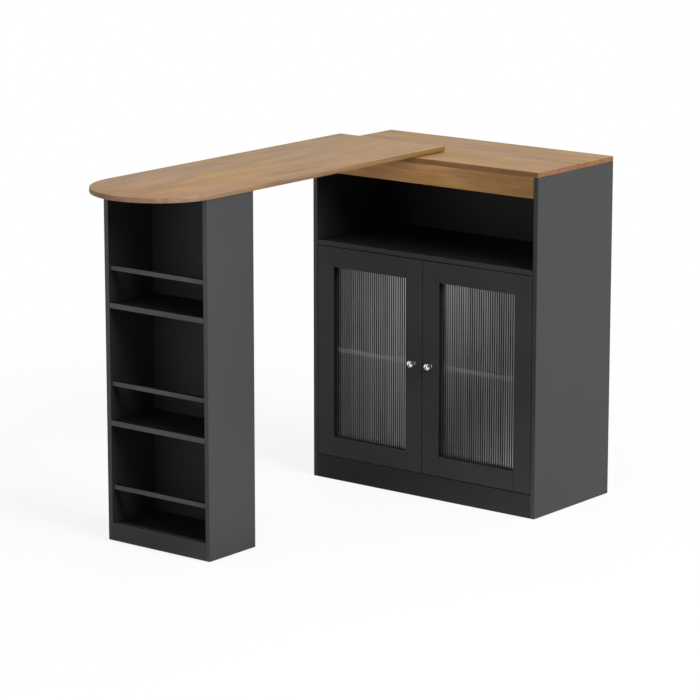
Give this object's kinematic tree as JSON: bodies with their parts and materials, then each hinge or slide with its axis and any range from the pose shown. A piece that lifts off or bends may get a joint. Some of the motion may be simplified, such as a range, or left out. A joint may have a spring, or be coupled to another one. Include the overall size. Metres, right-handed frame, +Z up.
{
  "type": "bar table",
  "caption": "L-shaped bar table: a cabinet with glass doors and an open compartment, and a bar on a shelf tower that swings about a corner pivot.",
  "frame": {"origin": "on the floor, in the middle of the whole table's box", "axes": "+Z up; the cabinet's doors face -Y and the bar runs towards -Y; +X is to the right of a person who faces the doors"},
  "size_m": [0.8264, 1.47, 1.0316],
  "materials": {
    "oak_laminate": "satin oak-grain laminate",
    "black_melamine": "matt black melamine on board",
    "fluted_glass": "clear, fluted on its back",
    "polished_chrome": "polished",
    "zinc_steel": "zinc plated",
    "black_nylon": "satin"
  },
  "bodies": {
    "cabinet": {"cabinet_side_left": "black_melamine", "cabinet_side_right": "black_melamine", "cabinet_plinth": "black_melamine", "cabinet_base": "black_melamine", "cabinet_rear_plinth": "black_melamine", "cabinet_divider": "black_melamine", "cabinet_inner_shelf": "black_melamine", "cabinet_back": "black_melamine", "cabinet_top": "oak_laminate", "cabinet_apron": "oak_laminate", "pivot_bush": "black_nylon", "left_hinge_1_arm": "zinc_steel", "left_hinge_2_arm": "zinc_steel", "right_hinge_1_arm": "zinc_steel", "right_hinge_2_arm": "zinc_steel"},
    "left_door": {"left_door_hinge_stile": "black_melamine", "left_door_meeting_stile": "black_melamine", "left_door_top_rail": "black_melamine", "left_door_bottom_rail": "black_melamine", "left_door_glass": "fluted_glass", "left_door_glass_bead": "black_melamine", "left_door_knob": "polished_chrome", "left_hinge_1_cup": "zinc_steel", "left_hinge_2_cup": "zinc_steel"},
    "left_hinge_links": {"left_hinge_1_link": "zinc_steel", "left_hinge_2_link": "zinc_steel"},
    "right_door": {"right_door_hinge_stile": "black_melamine", "right_door_meeting_stile": "black_melamine", "right_door_top_rail": "black_melamine", "right_door_bottom_rail": "black_melamine", "right_door_glass": "fluted_glass", "right_door_glass_bead": "black_melamine", "right_door_knob": "polished_chrome", "right_hinge_1_cup": "zinc_steel", "right_hinge_2_cup": "zinc_steel"},
    "right_hinge_links": {"right_hinge_1_link": "zinc_steel", "right_hinge_2_link": "zinc_steel"},
    "bar": {"bar_top": "oak_laminate", "pivot_post": "zinc_steel", "pivot_nut": "zinc_steel", "tower_side_left": "black_melamine", "tower_side_right": "black_melamine", "tower_back": "black_melamine", "tower_plinth": "black_melamine", "tower_base": "black_melamine", "tower_shelf_upper": "black_melamine", "tower_shelf_lower": "black_melamine", "tower_rail_upper": "black_melamine", "tower_rail_lower": "black_melamine", "tower_rail_base": "black_melamine"},
    "caster_1": {"caster_1_fork": "zinc_steel"},
    "caster_1_wheel": {"caster_1_wheel": "black_nylon"},
    "caster_2": {"caster_2_fork": "zinc_steel"},
    "caster_2_wheel": {"caster_2_wheel": "black_nylon"},
    "caster_3": {"caster_3_fork": "zinc_steel"},
    "caster_3_wheel": {"caster_3_wheel": "black_nylon"},
    "caster_4": {"caster_4_fork": "zinc_steel"},
    "caster_4_wheel": {"caster_4_wheel": "black_nylon"}
  },
  "joints": [
    {"name": "left_door_turn", "type": "hinge", "parent": "cabinet", "child": "left_door", "pos_m": [-0.38675, 0.355, 0.393], "axis": [0, 0, -1], "range_deg": [0, 95]},
    {"name": "left_link_turn", "type": "hinge", "parent": "cabinet", "child": "left_hinge_links", "pos_m": [-0.386, 0.3775, 0.393], "axis": [0, 0, -1], "range_deg": [0, 62]},
    {"name": "right_door_turn", "type": "hinge", "parent": "cabinet", "child": "right_door", "pos_m": [0.39625, 0.355, 0.393], "axis": [0, 0, 1], "range_deg": [0, 95]},
    {"name": "right_link_turn", "type": "hinge", "parent": "cabinet", "child": "right_hinge_links", "pos_m": [0.3955, 0.3775, 0.393], "axis": [0, 0, 1], "range_deg": [0, 62]},
    {"name": "bar_swivel", "type": "hinge", "parent": "cabinet", "child": "bar", "pos_m": [-0.33975, 0.4215, 1.0166], "axis": [0, 0, 1], "range_deg": [-90, 90]},
    {"name": "caster_1_swivel", "type": "hinge", "parent": "bar", "child": "caster_1", "pos_m": [-0.35675, -0.521, 0.039], "axis": [0, 0, 1], "continuous": true},
    {"name": "caster_1_roll", "type": "hinge", "parent": "caster_1", "child": "caster_1_wheel", "pos_m": [-0.34775, -0.521, 0.0135], "axis": [0, 1, 0], "continuous": true},
    {"name": "caster_2_swivel", "type": "hinge", "parent": "bar", "child": "caster_2", "pos_m": [-0.35675, -0.418, 0.039], "axis": [0, 0, 1], "continuous": true},
    {"name": "caster_2_roll", "type": "hinge", "parent": "caster_2", "child": "caster_2_wheel", "pos_m": [-0.34775, -0.418, 0.0135], "axis": [0, 1, 0], "continuous": true},
    {"name": "caster_3_swivel", "type": "hinge", "parent": "bar", "child": "caster_3", "pos_m": [-0.07575, -0.521, 0.039], "axis": [0, 0, 1], "continuous": true},
    {"name": "caster_3_roll", "type": "hinge", "parent": "caster_3", "child": "caster_3_wheel", "pos_m": [-0.06675, -0.521, 0.0135], "axis": [0, 1, 0], "continuous": true},
    {"name": "caster_4_swivel", "type": "hinge", "parent": "bar", "child": "caster_4", "pos_m": [-0.07575, -0.418, 0.039], "axis": [0, 0, 1], "continuous": true},
    {"name": "caster_4_roll", "type": "hinge", "parent": "caster_4", "child": "caster_4_wheel", "pos_m": [-0.06675, -0.418, 0.0135], "axis": [0, 1, 0], "continuous": true}
  ],
  "couplings": [
    {"joint": "left_link_turn", "follows": "left_door_turn", "ratio": 0.65},
    {"joint": "right_link_turn", "follows": "right_door_turn", "ratio": 0.65}
  ]
}
